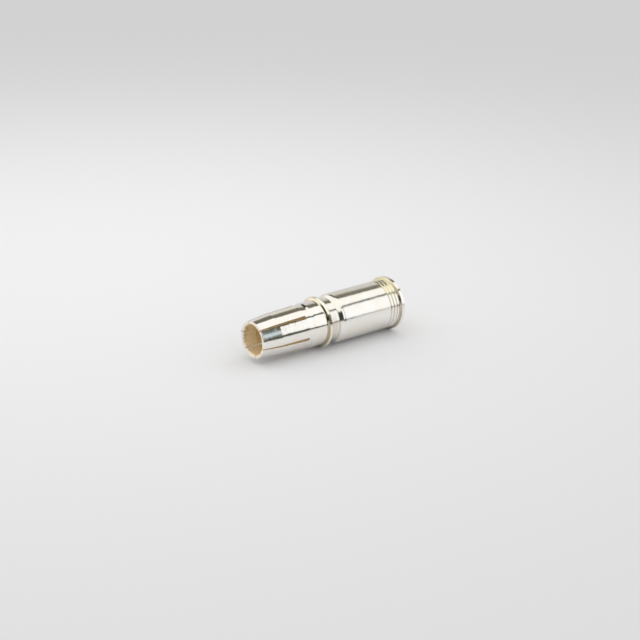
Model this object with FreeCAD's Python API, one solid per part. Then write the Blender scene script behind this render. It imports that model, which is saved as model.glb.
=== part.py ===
"""Turned crimp contact: a sprung socket for a round pin, in one piece with its crimp barrel.

The contact is turned from one bar. The mouth half is a socket whose wall is sawn into six
spring fingers, set inwards so that they grip the pin. A collar in the middle holds the contact
in its insulator, and the rear half is the barrel that is crimped on to the stripped wire.

Frame: +Z runs along the turning axis, from the crimp end to the mouth. The origin is the centre
of the crimp end's face, on which the contact stands. Lengths are in millimetres.
"""
import FreeCAD
import Part
import math
import os
from typing import NamedTuple

# Wire end: the crimp barrel
crimp_bore_diameter = 9.0
crimp_bore_depth = 19.8
crimp_mouth_chamfer = 0.7
barrel_wall = 2.25
barrel_length = 20.85
end_bead_height = 0.65
end_bead_width = 1.23
end_bead_bevel = 0.22
end_edge_chamfer = 0.25

# Identification grooves round the barrel, counted from the crimp end
mark_groove_count = 3
mark_groove_start = 2.35
mark_groove_pitch = 1.075
mark_groove_width = 0.62
mark_groove_depth = 0.14

# Inspection hole into the bottom of the crimp bore
inspection_diameter = 2.4
inspection_from_bore_bottom = 2.6

# Shoulder and neck in front of the barrel
shoulder_length = 1.3
shoulder_rounding = 1.6
neck_length = 3.05
neck_drop = 0.15

# Collar that holds the contact in its insulator
collar_height = 0.85
collar_land = 0.18
collar_bevel_length = 0.6
collar_bevel_drop = 0.3
collar_face_length = 0.35
ring_length = 3.68
ring_height = 0.2
ring_cone_length = 0.62

# Pin end: the sprung socket
pin_diameter = 8.0
pin_clearance = 0.02
grip_length = 3.8
grip_relief = 0.6
grip_step_length = 0.4
finger_wall = 1.3
finger_set = 0.52
root_length = 1.62
slot_length = 14.4
slot_count = 6
first_slot_angle = 90.0
slot_width_root = 0.85
slot_width_mouth = 0.32
saw_radius = 20.0
nose_length = 5.8
nose_drop = 0.35
nose_rounding = 0.22
lead_in = 0.36
lead_in_length = 0.5
socket_floor_margin = 2.4

# Shared by the turned corners and the drilled ends
inner_rounding = 0.3
drill_point_angle = 118.0
smallest_step = 1e-4

# Radii, each from the bore or the wall that it belongs to
crimp_bore_radius = crimp_bore_diameter / 2
barrel_radius = crimp_bore_radius + barrel_wall
end_bead_radius = barrel_radius + end_bead_height
grip_radius = pin_diameter / 2 + pin_clearance
socket_bore_radius = grip_radius + grip_relief
socket_radius = socket_bore_radius + finger_wall
ring_radius = socket_radius + ring_height
neck_radius = ring_radius - neck_drop
collar_radius = ring_radius + collar_height

# Stations along the axis, stacked from the crimp end to the mouth
shoulder_start = barrel_length
neck_start = shoulder_start + shoulder_length
collar_start = neck_start + neck_length
collar_bevel_start = collar_start + collar_land
collar_face_start = collar_bevel_start + collar_bevel_length
ring_start = collar_face_start + collar_face_length
ring_end = ring_start + ring_length
socket_start = ring_end + ring_cone_length
slot_root = socket_start + root_length
mouth = slot_root + slot_length
nose_start = mouth - nose_length


def finger_inset(z):
    """Distance by which the spring fingers are set inwards at height z."""
    return finger_set * max(0.0, z - slot_root) / slot_length


def drill_point_length(radius):
    """Length of the cone that a drill of this radius leaves at the bottom of a hole."""
    return radius / math.tan(math.radians(drill_point_angle / 2))


class Corner(NamedTuple):
    """A corner of the turned outline: its height, its radius and how far it is rounded."""

    height: float
    radius: float
    rounding: float = 0.0


def barrel_outline():
    """Corners of the crimp barrel's outside, from the end face to the neck."""
    corners = [
        Corner(0.0, end_bead_radius - end_edge_chamfer),
        Corner(end_edge_chamfer, end_bead_radius),
        Corner(end_bead_width, end_bead_radius),
        Corner(end_bead_width + end_bead_bevel, barrel_radius),
    ]
    for index in range(mark_groove_count):
        middle = mark_groove_start + index * mark_groove_pitch
        corners.append(Corner(middle - mark_groove_width / 2, barrel_radius))
        corners.append(Corner(middle, barrel_radius - mark_groove_depth))
        corners.append(Corner(middle + mark_groove_width / 2, barrel_radius))
    corners.append(Corner(shoulder_start, barrel_radius, shoulder_rounding))
    corners.append(Corner(neck_start, neck_radius, inner_rounding))
    return corners


def collar_outline():
    """Corners of the collar and the ring in front of it.

    The collar's rear face is square to the axis and takes the pull on the wire. Its front is
    bevelled twice, so that it slides into the insulator.
    """
    return [
        Corner(collar_start, neck_radius),
        Corner(collar_start, collar_radius),
        Corner(collar_bevel_start, collar_radius),
        Corner(collar_face_start, collar_radius - collar_bevel_drop),
        Corner(ring_start, ring_radius, inner_rounding),
        Corner(ring_end, ring_radius),
        Corner(socket_start, socket_radius),
    ]


def finger_outline():
    """Corners of the socket's outside, from the root of the fingers to the mouth."""
    mouth_radius = socket_radius - finger_inset(mouth) - nose_drop
    return [
        Corner(slot_root, socket_radius),
        Corner(nose_start, socket_radius - finger_inset(nose_start)),
        Corner(mouth, mouth_radius, nose_rounding),
    ]


def socket_bore_outline():
    """Corners of the socket's inside, from the lead-in down to the drilled bottom.

    The grip is a true cylinder where the fingers touch the pin. The bore behind it is wider.
    """
    grip_top = mouth - lead_in_length
    grip_bottom = grip_top - grip_length
    bore_top = grip_bottom - grip_step_length
    bore_bottom = slot_root - socket_floor_margin
    return [
        Corner(mouth, grip_radius + lead_in),
        Corner(grip_top, grip_radius),
        Corner(grip_bottom, grip_radius),
        Corner(bore_top, socket_bore_radius - finger_inset(bore_top)),
        Corner(slot_root, socket_bore_radius),
        Corner(bore_bottom, socket_bore_radius),
        Corner(bore_bottom - drill_point_length(socket_bore_radius), 0.0),
    ]


def crimp_bore_outline():
    """Corners of the crimp bore, from its drilled bottom out to the end face."""
    return [
        Corner(crimp_bore_depth + drill_point_length(crimp_bore_radius), 0.0),
        Corner(crimp_bore_depth, crimp_bore_radius),
        Corner(crimp_mouth_chamfer, crimp_bore_radius),
        Corner(0.0, crimp_bore_radius + crimp_mouth_chamfer),
    ]


def corner_arc(before, corner, after):
    """Return the start, middle and end of a corner's rounding, or None for a sharp corner.

    The arc is tangent to both sides. It takes at most 0.45 of the shorter side.
    """
    point = FreeCAD.Vector(corner.radius, 0, corner.height)
    to_before = FreeCAD.Vector(before.radius, 0, before.height) - point
    to_after = FreeCAD.Vector(after.radius, 0, after.height) - point
    half_angle = to_before.getAngle(to_after) / 2
    if corner.rounding == 0.0 or math.pi / 2 - half_angle < smallest_step:
        return None
    shorter_side = min(to_before.Length, to_after.Length)
    reach = min(corner.rounding / math.tan(half_angle), 0.45 * shorter_side)
    start = point + to_before.normalize() * reach
    end = point + to_after.normalize() * reach
    arc_radius = reach * math.tan(half_angle)
    centre_distance = reach / math.cos(half_angle)
    bisector = ((start + end) * 0.5 - point).normalize()
    return start, point + bisector * (centre_distance - arc_radius), end


def rounded_face(corners):
    """Return the flat face in the XZ plane inside a closed outline of corners."""
    edges = []
    ends = []
    for index, corner in enumerate(corners):
        arc = corner_arc(corners[index - 1], corner, corners[(index + 1) % len(corners)])
        if arc is None:
            point = FreeCAD.Vector(corner.radius, 0, corner.height)
            ends.append((point, point))
        else:
            ends.append((arc[0], arc[2]))
            edges.append(Part.Arc(*arc).toShape())
    for index, (_, side_start) in enumerate(ends):
        side_end = ends[(index + 1) % len(ends)][0]
        edges.append(Part.LineSegment(side_start, side_end).toShape())
    return Part.Face(Part.Wire(Part.__sortEdges__(edges)))


def turned_blank():
    """Revolve the whole outline, outside and both bores, about the turning axis."""
    corners = barrel_outline()
    corners += collar_outline()
    corners += finger_outline()
    corners += socket_bore_outline()
    corners += crimp_bore_outline()
    face = rounded_face(corners)
    return face.revolve(FreeCAD.Vector(0, 0, 0), FreeCAD.Vector(0, 0, 1), 360)


def saw_cut(angle):
    """Return the space of one slot, as the saw and the setting of the fingers leave it.

    The slot narrows from its root to the mouth, because the fingers are set inwards. Its bottom
    is the arc of the round saw, which stops at the named root where it leaves the outside.
    """
    margin = 1.0
    top = mouth + margin
    bottom = slot_root - margin
    slope = (slot_width_root - slot_width_mouth) / slot_length
    half_top = (slot_width_mouth - slope * margin) / 2
    half_bottom = (slot_width_root + slope * margin) / 2
    wedge_wire = Part.makePolygon([
        FreeCAD.Vector(0, -half_bottom, bottom),
        FreeCAD.Vector(0, half_bottom, bottom),
        FreeCAD.Vector(0, half_top, top),
        FreeCAD.Vector(0, -half_top, top),
        FreeCAD.Vector(0, -half_bottom, bottom),
    ])
    wedge = Part.Face(wedge_wire).extrude(FreeCAD.Vector(socket_radius + margin, 0, 0))
    saw_centre_height = slot_root + math.sqrt(saw_radius ** 2 - socket_radius ** 2)
    saw_axis_start = FreeCAD.Vector(0, -slot_width_root, saw_centre_height)
    saw = Part.makeCylinder(saw_radius, 2 * slot_width_root, saw_axis_start, FreeCAD.Vector(0, 1, 0))
    cut = wedge.common(saw)
    cut.rotate(FreeCAD.Vector(0, 0, 0), FreeCAD.Vector(0, 0, 1), angle)
    return cut


def inspection_drill():
    """Return the drill that opens one wall of the barrel near the bottom of its bore."""
    height = crimp_bore_depth - inspection_from_bore_bottom
    start = FreeCAD.Vector(0, 0, height)
    return Part.makeCylinder(
        inspection_diameter / 2, 2 * barrel_radius, start, FreeCAD.Vector(0, 1, 0)
    )


def build_contact():
    """Turn the blank, saw the slots and drill the inspection hole."""
    contact = turned_blank()
    slot_pitch = 360 / slot_count
    cuts = [saw_cut(first_slot_angle + index * slot_pitch) for index in range(slot_count)]
    cuts.append(inspection_drill())
    return contact.cut(cuts)


def main():
    """Build the contact and write its STEP file."""
    os.makedirs("parts", exist_ok=True)
    contact = build_contact()
    solid = contact.Solids[0]
    solid.exportStep("parts/contact_body.step")
    print("length", round(solid.BoundBox.ZLength, 3), "volume", round(solid.Volume, 2))


main()
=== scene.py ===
"""Dresses the turned crimp contact in bright silver plate and lays it in a pale studio.

The contact stands along +Z in the frame, from its crimp end up to the mouth of its socket. In
the photograph it lies on its side, so the studio floor here is an upright plane that touches
the collar and the end bead. Sizes of the contact are in millimetres until a mesh is made.
"""
import logging
import math
from dataclasses import dataclass, field
from enum import Enum
from typing import Any, NamedTuple

import bmesh
import bpy
import numpy as np
from mathutils import Matrix, Vector


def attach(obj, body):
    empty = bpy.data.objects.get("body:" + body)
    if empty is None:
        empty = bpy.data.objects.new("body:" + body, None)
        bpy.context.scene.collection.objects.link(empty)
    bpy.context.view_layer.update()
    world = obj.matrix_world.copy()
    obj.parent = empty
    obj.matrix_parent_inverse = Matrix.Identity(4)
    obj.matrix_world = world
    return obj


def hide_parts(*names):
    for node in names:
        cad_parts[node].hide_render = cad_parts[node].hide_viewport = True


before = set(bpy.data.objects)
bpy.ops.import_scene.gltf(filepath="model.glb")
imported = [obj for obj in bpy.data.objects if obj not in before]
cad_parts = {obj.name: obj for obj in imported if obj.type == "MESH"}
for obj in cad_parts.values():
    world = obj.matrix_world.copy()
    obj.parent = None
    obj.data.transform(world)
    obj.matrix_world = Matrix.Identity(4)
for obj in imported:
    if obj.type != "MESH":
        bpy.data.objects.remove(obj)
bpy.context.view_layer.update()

log = logging.getLogger("contact")

MM = 0.001
NODE = "contact_body"
BODY = "root"

# Half the point angle of a common drill, in degrees
DRILL_HALF_ANGLE = 59.0
# Points closer than this are one point, and edges shorter than the second go, in metres
MERGE_DISTANCE = 1e-6
SHORTEST_EDGE = 1e-7
# Edges that turn by more than this are shaded sharp, in degrees
SHARP_ANGLE = 32.0
# Width of the camera's sensor in millimetres, to which its lens is scaled
SENSOR_WIDTH = 36.0
# Rear share at which a slanted window has the limits that it states
LEVEL_SHARE = 0.6
# Limits on LEVEL_SHARE less the rear share, past which a slant moves nothing more
SLANT_REACH = (-0.1, 0.14)

Colour = tuple[float, float, float, float]


class Corner(NamedTuple):
    """A corner of the turned outline: height and radius, and how far it is rounded."""

    height: float
    radius: float
    rounding: float = 0.05


@dataclass(frozen=True)
class CrimpBarrel:
    """The wire end: end bead, identification grooves, barrel, shoulder and crimp bore."""

    bore_radius: float = 4.5
    bore_depth: float = 19.8
    bore_chamfer: float = 0.7
    wall: float = 2.25
    length: float = 20.85
    bead_height: float = 0.65
    bead_width: float = 1.23
    bead_bevel: float = 0.22
    end_chamfer: float = 0.25
    groove_count: int = 3
    groove_start: float = 2.35
    groove_pitch: float = 1.075
    groove_width: float = 0.62
    groove_depth: float = 0.14
    shoulder_length: float = 1.3
    shoulder_rounding: float = 1.6
    hole_diameter: float = 2.4
    hole_from_bottom: float = 2.6

    @property
    def radius(self) -> float:
        """Radius of the plain barrel."""
        return self.bore_radius + self.wall

    @property
    def bead_radius(self) -> float:
        """Radius of the end bead."""
        return self.radius + self.bead_height

    @property
    def top(self) -> float:
        """Height at which the shoulder has come down to the neck."""
        return self.length + self.shoulder_length

    def outside(self) -> list[Corner]:
        """Corners of the outside, from the end face up to the neck, without the neck's own."""
        corners = [
            Corner(0.0, self.bead_radius - self.end_chamfer),
            Corner(self.end_chamfer, self.bead_radius, 0.1),
            Corner(self.bead_width, self.bead_radius, 0.12),
            Corner(self.bead_width + self.bead_bevel, self.radius, 0.08),
        ]
        for index in range(self.groove_count):
            middle = self.groove_start + index * self.groove_pitch
            half = self.groove_width / 2
            corners.append(Corner(middle - half, self.radius, 0.08))
            corners.append(Corner(middle, self.radius - self.groove_depth, 0.08))
            corners.append(Corner(middle + half, self.radius, 0.08))
        corners.append(Corner(self.length, self.radius, self.shoulder_rounding))
        return corners

    def inside(self) -> list[Corner]:
        """Corners of the crimp bore, from the end face up to its drilled point on the axis."""
        return [
            Corner(0.0, self.bore_radius + self.bore_chamfer),
            Corner(self.bore_chamfer, self.bore_radius),
            Corner(self.bore_depth, self.bore_radius, 0.2),
            Corner(self.bore_depth + drill_point(self.bore_radius), 0.0),
        ]


@dataclass(frozen=True)
class Collar:
    """The middle: neck, collar, and the ring in front of the collar."""

    start: float
    socket_radius: float
    neck_length: float = 3.05
    neck_drop: float = 0.15
    height: float = 0.85
    land: float = 0.18
    bevel_length: float = 0.6
    bevel_drop: float = 0.3
    face_length: float = 0.35
    ring_length: float = 3.68
    ring_height: float = 0.2
    ring_cone: float = 0.62

    @property
    def ring_radius(self) -> float:
        """Radius of the ring in front of the collar."""
        return self.socket_radius + self.ring_height

    @property
    def radius(self) -> float:
        """Largest radius of the collar."""
        return self.ring_radius + self.height

    @property
    def neck_radius(self) -> float:
        """Radius of the neck behind the collar."""
        return self.ring_radius - self.neck_drop

    @property
    def seat(self) -> float:
        """Height of the collar's rear face."""
        return self.start + self.neck_length

    @property
    def ring_start(self) -> float:
        """Height at which the collar's front has come down to the ring."""
        return self.seat + self.land + self.bevel_length + self.face_length

    @property
    def top(self) -> float:
        """Height at which the ring has come down to the socket."""
        return self.ring_start + self.ring_length + self.ring_cone

    def outside(self) -> list[Corner]:
        """Corners of the outside, from the neck's first up to the socket's first."""
        bevel = self.seat + self.land
        face = bevel + self.bevel_length
        ring_end = self.ring_start + self.ring_length
        return [
            Corner(self.start, self.neck_radius, 0.3),
            Corner(self.seat, self.neck_radius, 0.12),
            Corner(self.seat, self.radius, 0.06),
            Corner(bevel, self.radius, 0.1),
            Corner(face, self.radius - self.bevel_drop, 0.1),
            Corner(self.ring_start, self.ring_radius, 0.3),
            Corner(ring_end, self.ring_radius, 0.15),
            Corner(self.top, self.socket_radius, 0.15),
        ]


@dataclass(frozen=True)
class SpringSocket:
    """The pin end: six spring fingers, sawn apart and set inwards to grip the pin."""

    start: float
    grip_radius: float = 4.02
    grip_length: float = 3.8
    grip_relief: float = 0.6
    grip_step: float = 0.4
    wall: float = 1.3
    inset: float = 0.52
    root_length: float = 1.62
    slot_length: float = 14.4
    slot_count: int = 6
    first_slot: float = 90.0
    slot_root_width: float = 0.85
    slot_mouth_width: float = 0.32
    saw_radius: float = 20.0
    nose_length: float = 5.8
    nose_drop: float = 0.35
    nose_rounding: float = 0.22
    lead_in: float = 0.36
    lead_in_length: float = 0.5
    floor_margin: float = 2.4

    @property
    def bore_radius(self) -> float:
        """Radius of the bore behind the grip, where the fingers are not yet set inwards."""
        return self.grip_radius + self.grip_relief

    @property
    def radius(self) -> float:
        """Outside radius at the root of the fingers."""
        return self.bore_radius + self.wall

    @property
    def root(self) -> float:
        """Height of the slots' root at the outside."""
        return self.start + self.root_length

    @property
    def mouth(self) -> float:
        """Height of the mouth."""
        return self.root + self.slot_length

    @property
    def inner_root(self) -> float:
        """Height of the slots' root at the bore, deeper by the roundness of the saw."""
        return float(self.saw_height(np.array(self.bore_radius)))

    def saw_height(self, radius: np.ndarray) -> np.ndarray:
        """Heights of the slot's bottom at distances from the axis, along the saw's circle."""
        centre = self.root + math.sqrt(self.saw_radius ** 2 - self.radius ** 2)
        return centre - np.sqrt(self.saw_radius ** 2 - radius ** 2)

    def set_inwards(self, height: float) -> float:
        """How far the fingers are set inwards at a height."""
        return self.inset * max(0.0, height - self.root) / self.slot_length

    def half_width(self, height: np.ndarray) -> np.ndarray:
        """Half the slot's width at heights along the axis. It narrows evenly to the mouth."""
        share = (height - self.root) / self.slot_length
        return (self.slot_root_width + (self.slot_mouth_width - self.slot_root_width) * share) / 2

    def finger(self) -> list[Corner]:
        """Corners of a finger's long section, up its outside, over the rim and down its inside.

        Returns:
            The corners, from the root at the outside to the root at the bore.
        """
        grip_top = self.mouth - self.lead_in_length
        grip_bottom = grip_top - self.grip_length
        bore_top = grip_bottom - self.grip_step
        nose = self.mouth - self.nose_length
        mouth_radius = self.radius - self.inset - self.nose_drop
        return [
            Corner(self.root, self.radius),
            Corner(nose, self.radius - self.set_inwards(nose), 0.3),
            Corner(self.mouth, mouth_radius, self.nose_rounding),
            Corner(self.mouth, self.grip_radius + self.lead_in, 0.08),
            Corner(grip_top, self.grip_radius, 0.2),
            Corner(grip_bottom, self.grip_radius, 0.2),
            Corner(bore_top, self.bore_radius - self.set_inwards(bore_top), 0.2),
            Corner(self.root, self.bore_radius, 0.0),
            Corner(self.inner_root, self.bore_radius),
        ]

    def bottom(self) -> list[Corner]:
        """Corners of the bore below the slots, down to its drilled point on the axis."""
        floor = self.root - self.floor_margin
        return [
            Corner(self.inner_root, self.bore_radius),
            Corner(floor, self.bore_radius, 0.2),
            Corner(floor - drill_point(self.bore_radius), 0.0),
        ]


def drill_point(radius: float) -> float:
    """Length of the cone that a common drill of this radius leaves at the bottom of a hole."""
    return radius / math.tan(math.radians(DRILL_HALF_ANGLE))


@dataclass(frozen=True)
class Tracer:
    """Turns corners into a fine outline with round corners and rows along its sides.

    A rounding takes at most side_share of each side. A rounding that is wide gets three times
    the steps. A corner that turns by less than twice the angle straight, in radians, stays as
    it is. The rows next to a corner are edge_row from it, or edge_share of a shorter side.
    """

    arc_steps: int = 5
    row_spacing: float = 0.75
    edge_row: float = 0.04
    edge_share: float = 0.2
    side_share: float = 0.45
    straight: float = 1e-3
    wide: float = 1.0

    def arc(self, before: Corner, corner: Corner, after: Corner) -> np.ndarray:
        """Points of one rounded corner.

        The arc is tangent to both sides: its centre lies on the bisector, and its points turn
        evenly from the first side's normal to the second's.

        Args:
            before: The corner before it.
            corner: The corner to round.
            after: The corner after it.

        Returns:
            An array of (radius, height) points, one point if the corner is sharp.
        """
        point = np.array([corner.radius, corner.height])
        back = np.array([before.radius, before.height]) - point
        ahead = np.array([after.radius, after.height]) - point
        back_length, ahead_length = np.linalg.norm(back), np.linalg.norm(ahead)
        back, ahead = back / back_length, ahead / ahead_length
        half_angle = math.acos(float(np.clip(back @ ahead, -1.0, 1.0))) / 2
        if corner.rounding == 0.0 or math.pi / 2 - half_angle < self.straight:
            return point[None, :]
        reach = corner.rounding / math.tan(half_angle)
        reach = min(reach, self.side_share * back_length, self.side_share * ahead_length)
        rounding = reach * math.tan(half_angle)
        bisector = (back + ahead) / np.linalg.norm(back + ahead)
        centre = point + bisector * (reach / math.cos(half_angle))
        start, end = point + back * reach - centre, point + ahead * reach - centre
        turn = math.pi - 2 * half_angle
        steps = self.arc_steps if corner.rounding < self.wide else 3 * self.arc_steps
        share = np.linspace(0.0, 1.0, steps + 1)[:, None]
        spread = np.sin((1 - share) * turn) * start + np.sin(share * turn) * end
        return centre + spread / math.sin(turn) * (rounding / np.linalg.norm(start))

    def side(self, start: np.ndarray, end: np.ndarray) -> np.ndarray:
        """Rows between two rounded corners: one close to each end, and even ones between.

        Args:
            start: The last point of the corner before.
            end: The first point of the corner after.

        Returns:
            The rows' points, without start and end.
        """
        length = float(np.linalg.norm(end - start))
        close = min(self.edge_row, self.edge_share * length) / length
        count = max(2, math.ceil(length / self.row_spacing))
        share = np.linspace(close, 1.0 - close, count)[:, None]
        return start + (end - start) * share

    def trace(self, corners: list[Corner]) -> np.ndarray:
        """Fine outline through all corners.

        Args:
            corners: The corners in order. The first and last stay sharp.

        Returns:
            An array of (radius, height) points.
        """
        stops = [np.array([[corners[0].radius, corners[0].height]])]
        for before, corner, after in zip(corners, corners[1:], corners[2:]):
            stops.append(self.arc(before, corner, after))
        stops.append(np.array([[corners[-1].radius, corners[-1].height]]))
        rows = [stops[0]]
        for last, following in zip(stops, stops[1:]):
            rows.append(self.side(last[-1], following[0]))
            rows.append(following)
        return np.concatenate(rows)


def link_object(name: str, data: Any) -> bpy.types.Object:
    """Make an object of a mesh or camera and link it to the scene."""
    made = bpy.data.objects.new(name, data)
    bpy.context.scene.collection.objects.link(made)
    return made


class GridMesh:
    """Collects point grids and makes one closed mesh of them."""

    def __init__(self) -> None:
        """Start with no points and no faces."""
        self.points: list[np.ndarray] = []
        self.faces: list[np.ndarray] = []
        self.count = 0

    def add(self, grid: np.ndarray, closed: bool = False) -> None:
        """Add a grid of points as quads between its rows and columns.

        Args:
            grid: Points in millimetres, as an array of rows, columns and XYZ.
            closed: Whether the last column joins the first.
        """
        rows, columns = grid.shape[:2]
        number = np.arange(rows * columns).reshape(rows, columns) + self.count
        following = np.roll(number, -1, axis=1) if closed else number[:, 1:]
        first = number if closed else number[:, :-1]
        quads = np.stack([first[:-1], following[:-1], following[1:], first[1:]], axis=-1)
        self.points.append(grid.reshape(-1, 3))
        self.faces.append(quads.reshape(-1, 4))
        self.count += rows * columns

    def build(self, name: str) -> bpy.types.Object:
        """Make the object, with doubles merged and faces pointing outwards.

        Args:
            name: The piece's name.

        Returns:
            The new object, linked to the scene.
        """
        points = np.concatenate(self.points) * MM
        faces = np.concatenate(self.faces)
        mesh = bpy.data.meshes.new(name)
        mesh.vertices.add(len(points))
        mesh.vertices.foreach_set("co", points.astype(np.float32).ravel())
        mesh.loops.add(faces.size)
        mesh.loops.foreach_set("vertex_index", faces.astype(np.int32).ravel())
        mesh.polygons.add(len(faces))
        mesh.polygons.foreach_set("loop_start", np.arange(0, faces.size, 4, dtype=np.int32))
        mesh.update(calc_edges=True)
        mesh.validate()
        work = bmesh.new()
        work.from_mesh(mesh)
        bmesh.ops.remove_doubles(work, verts=work.verts, dist=MERGE_DISTANCE)
        bmesh.ops.dissolve_degenerate(work, edges=work.edges, dist=SHORTEST_EDGE)
        bmesh.ops.recalc_face_normals(work, faces=work.faces)
        work.to_mesh(mesh)
        work.free()
        return link_object(name, mesh)


@dataclass
class ContactBody:
    """The whole turned contact, as one closed mesh in silver plate."""

    barrel: CrimpBarrel = field(default_factory=CrimpBarrel)
    finger_columns: int = 30
    slot_columns: int = 4
    wall_columns: int = 5
    hole_sides: int = 48
    tracer: Tracer = field(default_factory=Tracer)

    def __post_init__(self) -> None:
        """Stack the collar and the socket on the barrel."""
        base = SpringSocket(0.0)
        self.collar = Collar(self.barrel.top, base.radius)
        self.socket = SpringSocket(self.collar.top)

    def slot_angles(self) -> np.ndarray:
        """Angles of the slots round the axis, in radians."""
        pitch = 2 * math.pi / self.socket.slot_count
        return math.radians(self.socket.first_slot) + pitch * np.arange(self.socket.slot_count)

    def columns(self, half_angle: float) -> np.ndarray:
        """Angles of a full circle's columns, with slot_columns across each slot.

        Args:
            half_angle: Half the angle that a slot takes at the root.

        Returns:
            The angles, one turn without its end.
        """
        pitch = 2 * math.pi / self.socket.slot_count
        slot = np.linspace(-half_angle, half_angle, self.slot_columns + 1)[:-1]
        finger = np.linspace(half_angle, pitch - half_angle, self.finger_columns + 1)[:-1]
        sector = np.concatenate([slot, finger])
        return (self.slot_angles()[:, None] + sector[None, :]).ravel()

    @staticmethod
    def turned(outline: np.ndarray, angles: np.ndarray) -> np.ndarray:
        """Surface of revolution: each outline point swept round the axis.

        Args:
            outline: (radius, height) points.
            angles: Angles of the columns, one array for all rows or one row of them per point.

        Returns:
            The grid of points.
        """
        radius, height = outline[:, :1], outline[:, 1:]
        turn = np.broadcast_to(angles, (len(outline), np.shape(angles)[-1]))
        return np.stack([radius * np.cos(turn), radius * np.sin(turn), height + 0 * turn], axis=-1)

    def slot_half_angle(self, outline: np.ndarray) -> np.ndarray:
        """Half the angle that a slot takes at each outline point: arcsine of width by radius."""
        return np.arcsin(self.socket.half_width(outline[:, 1]) / outline[:, 0])

    def finger_halves(self) -> tuple[np.ndarray, np.ndarray]:
        """The finger's section as two outlines with as many points, which meet on the rim.

        Returns:
            The outside and the inside, both from the root to the middle of the rim.
        """
        corners = self.socket.finger()
        rim = (corners[2].radius + corners[3].radius) / 2
        middle = Corner(self.socket.mouth, rim, 0.0)
        outside = self.tracer.trace(corners[:3] + [middle])
        inside = self.tracer.trace([middle] + corners[3:])[::-1]
        return self.refined(outside, len(inside)), self.refined(inside, len(outside))

    @staticmethod
    def refined(outline: np.ndarray, count: int) -> np.ndarray:
        """Halve the longest steps of an outline until it has at least this many points.

        Args:
            outline: (radius, height) points.
            count: How many points it needs.

        Returns:
            The outline with the added points.
        """
        while len(outline) < count:
            step = int(np.argmax(np.linalg.norm(np.diff(outline, axis=0), axis=1)))
            middle = (outline[step] + outline[step + 1]) / 2
            outline = np.insert(outline, step + 1, middle, axis=0)
        return outline

    def add_finger(self, mesh: GridMesh, slot: float, following: float) -> None:
        """Add one finger between two slots, with the slot walls on both of its sides.

        Args:
            mesh: The mesh to add to.
            slot: Angle of the slot before it.
            following: Angle of the slot after it.
        """
        outside, inside = self.finger_halves()
        section = np.concatenate([outside, inside[::-1][1:]])
        half = self.slot_half_angle(section)
        share = np.linspace(0.0, 1.0, self.finger_columns + 1)
        low, high = slot + half, following - half
        angles = low[:, None] + (high - low)[:, None] * share
        mesh.add(self.turned(section, angles))
        bottom = self.saw_bottom()
        for edge in (low, high):
            outer = self.turned(outside, edge[:len(outside), None])[:, 0]
            inner = self.turned(inside, edge[::-1][:len(inside), None])[:, 0]
            across = np.linspace(0.0, 1.0, self.wall_columns + 1)[None, :, None]
            wall = outer[:, None, :] * (1 - across) + inner[:, None, :] * across
            side = 1.0 if edge is low else -1.0
            centre = slot if edge is low else following
            angle = centre + side * self.slot_half_angle(bottom)
            wall[0] = self.turned(bottom, angle[:, None])[:, 0]
            mesh.add(wall)

    def saw_bottom(self) -> np.ndarray:
        """Line of a slot's bottom across the wall, along the saw's circle, outside first."""
        radius = np.linspace(self.socket.radius, self.socket.bore_radius, self.wall_columns + 1)
        return np.stack([radius, self.socket.saw_height(radius)], axis=-1)

    def add_slot_bottom(self, mesh: GridMesh, slot: float) -> None:
        """Add the bottom of one slot, a strip that follows the saw's circle across the wall."""
        bottom = self.saw_bottom()
        half = self.slot_half_angle(bottom)[:, None]
        share = np.linspace(-1.0, 1.0, self.slot_columns + 1)
        mesh.add(self.turned(bottom, slot + half * share))

    def below_slots(self) -> list[Corner]:
        """Corners from the slots' root down the outside, over the end face and up the bore."""
        outside = self.barrel.outside() + self.collar.outside()
        outside.append(Corner(self.socket.root, self.socket.radius))
        return outside[::-1] + self.barrel.inside()

    def drill_inspection_hole(self, piece: bpy.types.Object) -> None:
        """Drill the hole near the bottom of the crimp bore, on the first slot's side.

        Args:
            piece: The contact's closed mesh.
        """
        height = self.barrel.bore_depth - self.barrel.hole_from_bottom
        angles = np.linspace(0, 2 * math.pi, self.hole_sides + 1)[:-1]
        radius = self.barrel.hole_diameter / 2
        rings = np.array([[0.0, 0.0], [radius, 0.0], [radius, 1.0], [0.0, 1.0]])
        reach = rings[:, 1:] * 2 * self.barrel.radius + 0 * angles
        drill = GridMesh()
        drill.add(np.stack([
            rings[:, :1] * np.cos(angles),
            reach,
            height + rings[:, :1] * np.sin(angles),
        ], axis=-1), closed=True)
        cutter = drill.build("inspection_drill")
        cut = piece.modifiers.new("inspection_hole", "BOOLEAN")
        cut.operation = "DIFFERENCE"
        cut.solver = "EXACT"
        cut.object = cutter
        depsgraph = bpy.context.evaluated_depsgraph_get()
        bored = bpy.data.meshes.new_from_object(piece.evaluated_get(depsgraph))
        piece.modifiers.clear()
        piece.data = bored
        bpy.data.objects.remove(cutter)

    def build(self) -> bpy.types.Object:
        """Build the contact's mesh.

        Returns:
            The finished piece.
        """
        mesh = GridMesh()
        outline = self.tracer.trace(self.below_slots())
        half = float(self.slot_half_angle(outline[:1])[0])
        mesh.add(self.turned(outline, self.columns(half)), closed=True)
        bore = self.tracer.trace(self.socket.bottom())
        half = float(self.slot_half_angle(bore[:1])[0])
        mesh.add(self.turned(bore, self.columns(half)), closed=True)
        slots = self.slot_angles()
        for slot, following in zip(slots, np.append(slots[1:], slots[0] + 2 * math.pi)):
            self.add_finger(mesh, slot, following)
            self.add_slot_bottom(mesh, slot)
        piece = mesh.build("contact")
        self.drill_inspection_hole(piece)
        piece.data.shade_smooth()
        piece.data.set_sharp_from_angle(angle=math.radians(SHARP_ANGLE))
        return piece


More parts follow.
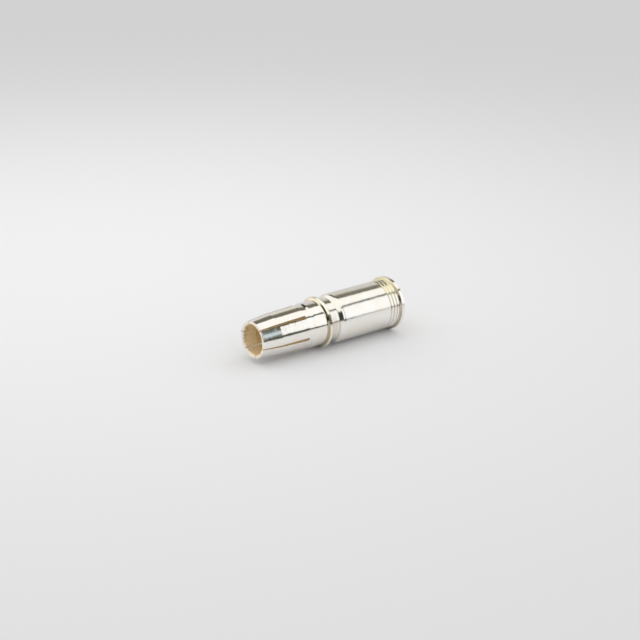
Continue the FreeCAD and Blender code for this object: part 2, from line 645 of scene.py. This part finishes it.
class Value:
    """A shader socket that takes part in Python arithmetic by adding Math nodes."""

    def __init__(self, graph: "Graph", socket: bpy.types.NodeSocket) -> None:
        """Wrap a socket of a graph."""
        self.graph = graph
        self.socket = socket

    def __add__(self, other: Any) -> "Value":
        """Sum."""
        return self.graph.maths("ADD", self, other)

    def __radd__(self, other: Any) -> "Value":
        """Sum, from the right."""
        return self.graph.maths("ADD", other, self)

    def __sub__(self, other: Any) -> "Value":
        """Difference."""
        return self.graph.maths("SUBTRACT", self, other)

    def __rsub__(self, other: Any) -> "Value":
        """Difference, from the right."""
        return self.graph.maths("SUBTRACT", other, self)

    def __mul__(self, other: Any) -> "Value":
        """Product."""
        return self.graph.maths("MULTIPLY", self, other)

    def __rmul__(self, other: Any) -> "Value":
        """Product, from the right."""
        return self.graph.maths("MULTIPLY", other, self)

    def __truediv__(self, other: Any) -> "Value":
        """Quotient."""
        return self.graph.maths("DIVIDE", self, other)

    def __rtruediv__(self, other: Any) -> "Value":
        """Quotient, from the right."""
        return self.graph.maths("DIVIDE", other, self)

    def __pow__(self, other: Any) -> "Value":
        """Power."""
        return self.graph.maths("POWER", self, other)

    def clamped(self, low: float, high: float) -> "Value":
        """The value kept between low and high."""
        node = self.graph.node("ShaderNodeClamp", {}, {"Value": self, "Min": low, "Max": high})
        return Value(self.graph, node.outputs["Result"])

    def step(self, low: float, high: float) -> "Value":
        """Smooth step, from 0 below low to 1 above high."""
        node = self.graph.node(
            "ShaderNodeMapRange",
            {"interpolation_type": "SMOOTHSTEP"},
            {"Value": self, "From Min": low, "From Max": high},
        )
        return Value(self.graph, node.outputs["Result"])


class Graph:
    """A node tree with one method that adds any node."""

    def __init__(self, tree: bpy.types.NodeTree) -> None:
        """Start from an empty tree."""
        self.tree = tree
        tree.nodes.clear()

    def node(self, kind: str, settings: dict[str, Any], inputs: dict[Any, Any]) -> bpy.types.Node:
        """Add a node.

        Args:
            kind: The node's type.
            settings: Its properties, set first.
            inputs: Values, wrapped values or sockets for its inputs, by name or number.

        Returns:
            The new node.
        """
        node = self.tree.nodes.new(kind)
        for name, setting in settings.items():
            setattr(node, name, setting)
        for name, given in inputs.items():
            target = node.inputs[name]
            if isinstance(given, Value):
                self.tree.links.new(given.socket, target)
            elif isinstance(given, bpy.types.NodeSocket):
                self.tree.links.new(given, target)
            else:
                target.default_value = given
        return node

    def maths(self, operation: str, *terms: Any) -> Value:
        """Add a Math node for an operation on numbers or wrapped values."""
        node = self.node("ShaderNodeMath", {"operation": operation}, dict(enumerate(terms)))
        return Value(self, node.outputs[0])

    def blend(
        self, share: Any, first: Any, second: Any, kind: str = "MIX"
    ) -> bpy.types.NodeSocket:
        """Mix two colours.

        Args:
            share: How much of the second colour shows or is added.
            first: The colour at 0.
            second: The other colour.
            kind: The Mix node's blend type.

        Returns:
            The mixed colour's socket.
        """
        settings = {"data_type": "RGBA", "blend_type": kind}
        node = self.node("ShaderNodeMix", settings, {0: share, 6: first, 7: second})
        return node.outputs[2]

    def noise(self, where: bpy.types.NodeSocket, scale: float, detail: float) -> Value:
        """Noise from 0 to 1, with so many waves per metre and so many finer layers."""
        inputs = {"Vector": where, "Scale": scale, "Detail": detail}
        return Value(self, self.node("ShaderNodeTexNoise", {}, inputs).outputs["Fac"])

    def place(self) -> tuple[Value, Value, Value, bpy.types.NodeSocket]:
        """The point in Object coordinates: X, Y and Z wrapped, and the vector's socket."""
        where = self.node("ShaderNodeTexCoord", {}, {}).outputs["Object"]
        parts = self.node("ShaderNodeSeparateXYZ", {}, {0: where}).outputs
        return Value(self, parts[0]), Value(self, parts[1]), Value(self, parts[2]), where

    def along(self, vector: bpy.types.NodeSocket, direction: Vector) -> Value:
        """Component of a vector along a fixed direction of length 1."""
        settings = {"operation": "DOT_PRODUCT"}
        node = self.node("ShaderNodeVectorMath", settings, {0: vector, 1: tuple(direction)})
        return Value(self, node.outputs["Value"])


def new_material(name: str) -> tuple[bpy.types.Material, Graph]:
    """Make an empty material of this name, and the graph that fills it."""
    made = bpy.data.materials.new(name)
    made.use_nodes = True
    return made, Graph(made.node_tree)


class PaintedShadeRing(NamedTuple):
    """A ring of painted shade and painted reflection: its height, half width, soft edge and both
    shares.

    The plate takes the low share of painted brown shade on the side that lies down, and the top
    share of painted yellow reflection on the side that faces up.
    """

    height: float
    half_width: float
    soft: float
    low: float
    top: float


class Point(NamedTuple):
    """The shaded point in a graph: X, Y, Z, the vector's socket and the distance from the axis."""

    graph: Graph
    x: Value
    y: Value
    z: Value
    where: bpy.types.NodeSocket
    radius: Value


@dataclass(frozen=True)
class SilverPlate:
    """Bright silver plating over turned metal, with a painted golden bounce tint inside and rings
    of painted shade and reflection at the grooves and corners.

    Lengths are in metres here. A pair is where a smooth step leaves 0 and where it reaches 1.
    """

    body: ContactBody
    up: Vector
    away: Vector
    cool: Colour = (0.93, 0.912, 0.875, 1.0)
    warm: Colour = (0.925, 0.875, 0.80, 1.0)
    # Golden base colour inside: a painted tint of light bounced many times in the silver bore
    inner: Colour = (0.95, 0.80, 0.54, 1.0)
    fleck: Colour = (0.36, 0.28, 0.15, 1.0)
    # Painted brown shade for the side that lies down, and painted yellow reflection for the side
    # that faces up
    painted_shade_brown: Colour = (0.50, 0.43, 0.28, 1.0)
    painted_reflection_yellow: Colour = (0.84, 0.77, 0.47, 1.0)
    cloud_scale: float = 220.0
    cloud_edge: tuple[float, float] = (0.35, 0.7)
    upper_side: tuple[float, float] = (0.35, 0.85)
    far_side: tuple[float, float] = (0.1, 0.6)
    skin: tuple[float, float] = (-0.0004, -0.00012)
    rim: tuple[float, float] = (-0.0004, -0.00005)
    rim_share: float = 0.6
    fleck_size: float = 0.00045
    fleck_edge: tuple[float, float] = (0.48, 0.6)
    fleck_depth: float = 0.0028
    fleck_start: float = 0.0005
    fleck_limit: float = 0.8
    inner_metallic: float = 0.3
    wave_size: float = 0.0016
    wave_height: float = 2e-5
    roughness: float = 0.10
    barrel_roughness: float = 0.145
    inner_roughness: float = 0.42
    line_roughness: float = 0.05
    cloud_roughness: float = 0.04
    line_pitch: float = 0.00026
    line_relief: float = 0.2
    line_height: float = 3e-5
    line_drift: float = 60.0

    def painted_shade_rings(self) -> list[PaintedShadeRing]:
        """Rings of painted shade and reflection, in millimetres, at the marking grooves and the
        corners.
        """
        barrel, collar = self.body.barrel, self.body.collar
        middles = [
            barrel.groove_start + index * barrel.groove_pitch
            for index in range(barrel.groove_count)
        ]
        # Rings of painted shade and reflection at the grooves, the bead, the shoulder, the neck
        # and the collar's faces
        return [PaintedShadeRing(middle, 0.05, 0.26, 0.5, 0.85) for middle in middles] + [
            PaintedShadeRing(middles[1], 1.3, 0.9, 0.0, 0.3),
            PaintedShadeRing(barrel.bead_width + barrel.bead_bevel, 0.08, 0.3, 0.6, 0.6),
            PaintedShadeRing(barrel.top, 0.1, 0.35, 0.5, 0.1),
            PaintedShadeRing((barrel.top + collar.seat) / 2, 0.6, 0.7, 0.3, 0.0),
            PaintedShadeRing(collar.seat - 0.15, 0.12, 0.4, 0.75, 0.15),
            PaintedShadeRing(collar.ring_start - 0.12, 0.18, 0.3, 1.0, 0.5),
        ]

    def material(self) -> bpy.types.Material:
        """Make the plating's material.

        Returns:
            The material.
        """
        made, graph = new_material("silver_plate")
        x, y, z, where = graph.place()
        point = Point(graph, x, y, z, where, (x * x + y * y) ** 0.5)
        lines = self.turning_lines(point)
        cloud = graph.noise(where, self.cloud_scale, 3.0)
        inside = self.inside(point)
        colour = graph.blend(cloud.step(*self.cloud_edge), self.cool, self.warm)
        colour = self.painted_shade_and_reflection(point, cloud, colour)
        shader = graph.node("ShaderNodeBsdfPrincipled", {}, {
            "Base Color": self.paint_bounce_tint_inside(point, inside, colour),
            "Metallic": 1 - inside * (1 - self.inner_metallic),
            "Roughness": self.satin(point, lines, cloud, inside),
            "Normal": self.relief(point, lines),
        })
        graph.node("ShaderNodeOutputMaterial", {}, {"Surface": shader.outputs["BSDF"]})
        return made

    def painted_shade_and_reflection(self, point: Point, cloud: Value, colour: Any) -> bpy.types.NodeSocket:
        """Lay the rings over a colour: painted yellow reflection on the upper side, painted brown
        shade on the lower.

        Args:
            point: The shaded point.
            cloud: Noise that makes the painted rings uneven.
            colour: The clean colour.

        Returns:
            The colour with painted shade and reflection laid over it.
        """
        graph = point.graph
        height = graph.along(point.where, self.up) / point.radius
        lower = 1 - height.step(*self.upper_side)
        painted_shade_and_reflection: Any = 0.0
        for ring in self.painted_shade_rings():
            away = graph.maths("ABSOLUTE", point.z - ring.height * MM)
            reach = 1 - away.step(ring.half_width * MM, (ring.half_width + ring.soft) * MM)
            painted_shade_and_reflection = reach * (ring.top + (ring.low - ring.top) * lower) + painted_shade_and_reflection
        painted_shade_and_reflection = painted_shade_and_reflection * (0.7 + 0.6 * cloud)
        # Painted yellow reflection above, painted brown shade below
        tint = graph.blend(lower, self.painted_reflection_yellow, self.painted_shade_brown)
        return graph.blend(painted_shade_and_reflection.clamped(0.0, 1.0), colour, tint)

    def paint_bounce_tint_inside(self, point: Point, inside: Value, colour: Any) -> bpy.types.NodeSocket:
        """Lay the inside's painted golden tint, of light bounced many times in the silver bore,
        over a colour, with dark flecks near the mouth.

        Args:
            point: The shaded point.
            inside: The mask of the inside.
            colour: The outside's colour.

        Returns:
            The colour of both.
        """
        graph, mouth = point.graph, self.body.socket.mouth * MM
        flecks = graph.noise(point.where, 1.0 / self.fleck_size, 2.0).step(*self.fleck_edge)
        flecks = flecks * point.z.step(mouth - self.fleck_depth, mouth - self.fleck_start)
        far = graph.along(point.where, self.away) / point.radius
        flecks = flecks * far.step(*self.far_side)
        rim = point.z.step(mouth + self.rim[0], mouth + self.rim[1])
        flecks = (flecks * (1 - rim)).clamped(0.0, self.fleck_limit)
        # Painted golden tint of light bounced inside the bore, with the flecks on it
        bounce_tint = graph.blend(flecks, self.inner, self.fleck)
        return graph.blend(inside * (1 - self.rim_share * rim), colour, bounce_tint)

    def satin(self, point: Point, lines: Value, cloud: Value, inside: Value) -> Value:
        """Roughness of the plate: more on the barrel than on the socket, and most inside.

        Args:
            point: The shaded point.
            lines: The turning lines.
            cloud: Noise that makes it uneven.
            inside: The mask of the inside.

        Returns:
            The roughness.
        """
        collar = self.body.collar
        rough = self.barrel_roughness + (self.roughness - self.barrel_roughness) * point.z.step(
            collar.seat * MM, collar.ring_start * MM
        )
        rough = rough + self.line_roughness * (lines - 0.5) + self.cloud_roughness * (cloud - 0.5)
        return rough + inside * (self.inner_roughness - self.roughness)

    def relief(self, point: Point, lines: Value) -> bpy.types.NodeSocket:
        """Bump of the faint waves, with that of the turning lines on it.

        Args:
            point: The shaded point.
            lines: The turning lines.

        Returns:
            The normal.
        """
        graph = point.graph
        waves = graph.noise(point.where, 1.0 / self.wave_size, 1.0)
        gentle = graph.node(
            "ShaderNodeBump", {}, {"Strength": 1.0, "Distance": self.wave_height, "Height": waves}
        )
        return graph.node("ShaderNodeBump", {}, {
            "Strength": self.line_relief,
            "Distance": self.line_height,
            "Height": lines,
            "Normal": gentle.outputs["Normal"],
        }).outputs["Normal"]

    def inside(self, point: Point) -> Value:
        """Mask of both bores and the slots' walls, where the plate is matt and takes a painted
        golden bounce tint.

        Args:
            point: The shaded point.

        Returns:
            The mask, 1 inside.
        """
        socket = self.body.socket
        depth = (point.z - socket.root * MM).clamped(0.0, socket.slot_length * MM)
        outside = socket.radius * MM - depth * (socket.inset / socket.slot_length)
        nose = (point.z - (socket.mouth - socket.nose_length) * MM).clamped(0.0, 1.0)
        outside = outside - nose * (socket.nose_drop / socket.nose_length)
        return 1 - (point.radius - outside).step(*self.skin)

    def turning_lines(self, point: Point) -> Value:
        """Turning tool's lines: noise that changes fast along the axis and the radius only.

        Args:
            point: The shaded point.

        Returns:
            The lines' height, from 0 to 1.
        """
        graph, fast, slow = point.graph, 1.0 / self.line_pitch, self.line_drift
        place = graph.node(
            "ShaderNodeCombineXYZ", {}, {0: point.x * slow, 1: point.y * slow, 2: point.z * fast}
        )
        noise = graph.node(
            "ShaderNodeTexNoise",
            {"noise_dimensions": "4D"},
            {"Vector": place.outputs[0], "W": point.radius * fast, "Scale": 1.0, "Detail": 4.0},
        )
        return Value(graph, noise.outputs["Fac"])


@dataclass(frozen=True)
class Setting:
    """Where the photograph's floor and camera are, seen from the standing contact.

    The photograph's floor normal is a level direction of the frame, and its own directions are
    along the axis towards the crimp end, up from the floor, and away from the camera.
    """

    floor_azimuth: float = 44.8
    lens_pixels: float = 1400.0
    image_pixels: float = 640.0
    turn: float = 38.9
    tilt: float = 20.35
    barrel_pixels: float = 26.2
    mouth_pixel: tuple[float, float] = (252.0, 340.1)
    clip: tuple[float, float] = (0.01, 20.0)

    @property
    def up(self) -> Vector:
        """Normal of the photograph's floor, in the frame."""
        azimuth = math.radians(self.floor_azimuth)
        return Vector((math.sin(azimuth), -math.cos(azimuth), 0.0))

    @property
    def rear(self) -> Vector:
        """Direction along the axis from the mouth to the crimp end, in the frame."""
        return Vector((0.0, 0.0, -1.0))

    @property
    def away(self) -> Vector:
        """Level direction away from the camera, across the axis, in the frame."""
        return self.up.cross(self.rear)

    def view_basis(self) -> Matrix:
        """Rotation from the camera's right, down and forward directions to the frame."""
        turn, tilt = math.radians(self.turn), math.radians(self.tilt)
        rear = Vector((
            math.cos(turn), -math.sin(turn) * math.sin(tilt), math.sin(turn) * math.cos(tilt)
        ))
        up = Vector((0.0, -math.cos(tilt), -math.sin(tilt)))
        seen = Matrix((rear, up, rear.cross(up))).transposed()
        real = Matrix((self.rear, self.up, self.rear.cross(self.up))).transposed()
        return real @ seen.transposed()

    def camera(self, body: ContactBody) -> None:
        """Place the photograph's camera.

        Args:
            body: The contact, whose mouth and barrel set the distance.
        """
        basis = self.view_basis()
        distance = body.barrel.radius * MM * self.lens_pixels / self.barrel_pixels
        centre = self.image_pixels / 2
        ray = Vector((*((pixel - centre) / self.lens_pixels for pixel in self.mouth_pixel), 1.0))
        mouth = Vector((0.0, 0.0, body.socket.mouth * MM))
        place = mouth - basis @ (ray * distance)
        axes = basis @ Matrix.Diagonal((1, -1, -1))
        data = bpy.data.cameras.new("camera")
        data.sensor_width = SENSOR_WIDTH
        data.lens = SENSOR_WIDTH * self.lens_pixels / self.image_pixels
        data.clip_start, data.clip_end = self.clip
        camera = link_object("camera", data)
        camera.matrix_world = Matrix.Translation(place) @ axes.to_4x4()
        bpy.context.scene.camera = camera


class Window(NamedTuple):
    """A window of directions and its colour.

    The rear limits are on the share of a direction that points to the crimp end. The angle
    limits are in degrees about the axis, where 0 is level towards the camera and 90 straight up.
    They hold where the rear share is LEVEL_SHARE, and the slants say how many degrees each falls
    per unit of rear share, as far as SLANT_REACH allows.
    """

    rear: tuple[float, float]
    angle: tuple[float, float]
    soft: tuple[float, float]
    colour: tuple[float, float, float]
    slant: tuple[float, float] = (0.0, 0.0)


class Panel(Enum):
    """The studio as the contact mirrors it, from the first layer to the last."""

    FAR_BAND = Window((0.33, 1.1), (100.0, 150.0), (0.08, 5.0), (0.17, 0.16, 0.12))
    FAR_WALL = Window((-1.1, 1.1), (133.0, 205.0), (0.1, 8.0), (0.66, 0.635, 0.60), (80.0, 0.0))
    FAR_FRONT = Window((-1.1, 0.575), (139.0, 205.0), (0.03, 9.0), (0.77, 0.74, 0.70), (80.0, 0.0))
    NEAR_DARK = Window((0.24, 1.1), (-9.0, 70.0), (0.02, 2.0), (0.07, 0.08, 0.06))
    CAMERA_SIDE = Window((-0.24, 0.36), (5.0, 51.0), (0.03, 2.0), (1.06, 1.06, 1.06))
    STAND = Window((0.24, 0.49), (14.5, 33.5), (0.03, 6.0), (0.58, 0.70, 0.78))
    FRONT_RIGHT = Window(
        (0.475, 1.2), (1.2, 57.5), (0.02, 1.2), (1.08, 1.08, 1.08), (60.0, -60.0)
    )
    OVERHEAD = Window(
        (-0.75, 1.1), (66.0, 106.5), (0.05, 1.2), (1.08, 1.075, 1.05), (-60.0, 30.0)
    )
    BACK_LEFT = Window((-0.80, 0.1), (98.0, 170.0), (0.05, 4.0), (1.04, 1.03, 0.99))
    FRONT_LEFT = Window((-0.95, -0.15), (42.0, 66.0), (0.04, 3.0), (1.04, 1.03, 1.01))


@dataclass(frozen=True)
class Studio:
    """Pale floor and the softly lit room round it.

    Places on the floor are in metres from where the end bead touches it. The centre of the painted
    pool of light on the floor is along the rear and away directions from the frame's origin. The
    card's corners are along the axis towards the mouth, and away from the camera.
    """

    setting: Setting
    floor_colour: tuple[float, float, float] = (0.842, 0.846, 0.862)
    # Centre, fall-off and depth of the painted pool of light on the floor
    painted_light_centre: tuple[float, float] = (-0.038, 0.106)
    painted_light_falloff: float = 16.0
    painted_light_drop: float = 0.27
    floor_half: float = 3.0
    near_edge: float = 0.3
    card_height: float = 0.0003
    card_corners: tuple[tuple[float, float], ...] = (
        (0.030, -0.072), (-0.045, -0.095), (-0.190, -0.300), (-0.060, -0.300)
    )
    card_colour: Colour = (0.06, 0.07, 0.062, 1.0)
    room: Colour = (0.035, 0.033, 0.027, 1.0)
    pale: Colour = (0.84, 0.84, 0.85, 1.0)
    ambient: float = 0.62
    lift: float = 0.62

    def floor(self, body: ContactBody) -> None:
        """Lay the floor against the end bead and the collar, with the black card on it.

        Args:
            body: The contact that lies on it.
        """
        bead = (body.barrel.bead_width * MM, body.barrel.bead_radius * MM)
        seat = ((body.collar.seat + body.collar.land) * MM, body.collar.radius * MM)
        slope = (bead[1] - seat[1]) / (seat[0] - bead[0])
        along = (Vector((0, 0, 1)) + self.setting.up * slope).normalized()
        across = self.setting.away
        centre = Vector((0, 0, bead[0])) - self.setting.up * bead[1]
        near, half = -self.near_edge, self.floor_half
        corners = ((-half, near), (-half, half), (half, half), (half, near))
        floor = self.sheet("floor", [centre + along * a + across * b for a, b in corners])
        floor.data.materials.append(self.floor_material())
        above = centre + self.setting.up * self.card_height
        card = self.sheet("card", [above + along * a + across * b for a, b in self.card_corners])
        card.data.materials.append(self.card_material())
        card.visible_camera = False
        card.visible_diffuse = False
        card.visible_shadow = False

    def sheet(self, name: str, corners: list[Vector]) -> bpy.types.Object:
        """Add one flat four-sided piece of the stage, which faces up.

        Args:
            name: The piece's name.
            corners: Its corners in order.

        Returns:
            The piece.
        """
        normal = (corners[1] - corners[0]).cross(corners[2] - corners[1])
        if normal.dot(self.setting.up) < 0:
            corners.reverse()
        mesh = bpy.data.meshes.new(name)
        mesh.from_pydata([tuple(corner) for corner in corners], [], [(0, 1, 2, 3)])
        mesh.update()
        piece = link_object(name, mesh)
        return piece

    def card_material(self) -> bpy.types.Material:
        """Matt black card, which only the contact mirrors."""
        made, graph = new_material("card")
        matt = graph.node(
            "ShaderNodeBsdfPrincipled", {}, {"Base Color": self.card_colour, "Roughness": 0.8}
        )
        graph.node("ShaderNodeOutputMaterial", {}, {"Surface": matt.outputs[0]})
        return made

    def floor_material(self) -> bpy.types.Material:
        """Matt pale floor with a painted pool of light that dims away from its centre, clear from
        below so that it hides nothing in other views.
        """
        made, graph = new_material("floor")
        under = graph.node("ShaderNodeNewGeometry", {}, {}).outputs["Backfacing"]
        where = graph.place()[3]
        # Painted pool of light: the floor's colour dims away from a bright centre
        rear = graph.along(where, self.setting.rear) - self.painted_light_centre[0]
        away = graph.along(where, self.setting.away) - self.painted_light_centre[1]
        kept = graph.maths("EXPONENT", (rear * rear + away * away) * -self.painted_light_falloff)
        share = 1 - self.painted_light_drop * (1 - kept)
        colour = graph.node(
            "ShaderNodeVectorMath", {"operation": "SCALE"}, {0: self.floor_colour, "Scale": share}
        ).outputs[0]
        matt = graph.node("ShaderNodeBsdfPrincipled", {}, {
            "Base Color": colour, "Roughness": 1.0, "Specular IOR Level": 0.0
        })
        clear = graph.node("ShaderNodeBsdfTransparent", {}, {})
        either = graph.node(
            "ShaderNodeMixShader", {}, {0: under, 1: matt.outputs[0], 2: clear.outputs[0]}
        )
        graph.node("ShaderNodeOutputMaterial", {}, {"Surface": either.outputs[0]})
        return made

    def window(self, graph: Graph, window: Window, rear: Value, angle: Value) -> Value:
        """How far a direction lies inside a window.

        The mask is the product of a smooth step up at each lower limit and a smooth step down
        at each upper one. A slanted limit is a limit on the angle less the slant's share.

        Args:
            graph: The world's graph, not used.
            window: The window.
            rear: The share of the direction that points to the crimp end.
            angle: The direction's angle about the axis, in degrees.

        Returns:
            The mask, from 0 to 1.
        """
        soft_rear, soft_angle = window.soft
        mask = rear.step(window.rear[0] - soft_rear, window.rear[0] + soft_rear)
        mask = mask * (1 - rear.step(window.rear[1] - soft_rear, window.rear[1] + soft_rear))
        low, high = (
            angle - slant * (LEVEL_SHARE - rear).clamped(*SLANT_REACH) if slant else angle
            for slant in window.slant
        )
        mask = mask * low.step(window.angle[0] - soft_angle, window.angle[0] + soft_angle)
        return mask * (1 - high.step(window.angle[1] - soft_angle, window.angle[1] + soft_angle))

    def world(self) -> None:
        """Light the room: panels in a dim studio, with a plain fill for matt surfaces."""
        world = bpy.data.worlds.new("room")
        bpy.context.scene.world = world
        world.use_nodes = True
        graph = Graph(world.node_tree)
        direction = graph.node("ShaderNodeTexCoord", {}, {}).outputs["Generated"]
        path = graph.node("ShaderNodeLightPath", {}, {}).outputs
        rear = graph.along(direction, self.setting.rear)
        near = graph.along(direction, -self.setting.away)
        up = graph.along(direction, self.setting.up)
        turn = graph.maths("ARCTAN2", up, near) * math.degrees(1.0)
        below = 1 - (turn + 90).step(-1.0, 1.0)
        angle = turn + 360 * below
        seen: Any = self.room
        for panel in Panel:
            colour = (*panel.value.colour, 1.0)
            seen = graph.blend(self.window(graph, panel.value, rear, angle), seen, colour)
        fill = (self.ambient, self.ambient, self.ambient, 1.0)
        soft = graph.blend(self.lift, fill, seen, "ADD")
        lit = graph.blend(path["Is Diffuse Ray"], seen, soft)
        shown = graph.blend(path["Is Camera Ray"], lit, self.pale)
        back = graph.node("ShaderNodeBackground", {}, {"Color": shown, "Strength": 1.0})
        graph.node("ShaderNodeOutputWorld", {}, {"Surface": back.outputs[0]})

    def build(self, body: ContactBody) -> None:
        """Lay the floor and light the room round the contact."""
        self.floor(body)
        self.world()


def main() -> None:
    """Build and dress the contact, then its studio and camera."""
    logging.basicConfig(level=logging.INFO, format="%(name)s: %(message)s")
    bpy.context.scene.view_settings.view_transform = "Standard"
    setting = Setting()
    body = ContactBody()
    piece = body.build()
    piece.data.materials.clear()
    piece.data.materials.append(SilverPlate(body, setting.up, setting.away).material())
    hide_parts(NODE)
    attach(piece, BODY)
    log.info("contact: %d vertices, %d faces", len(piece.data.vertices), len(piece.data.polygons))
    Studio(setting).build(body)
    setting.camera(body)
    log.info("studio: floor, %d panels and camera", len(Panel))


if __name__ == "__main__":
    main()
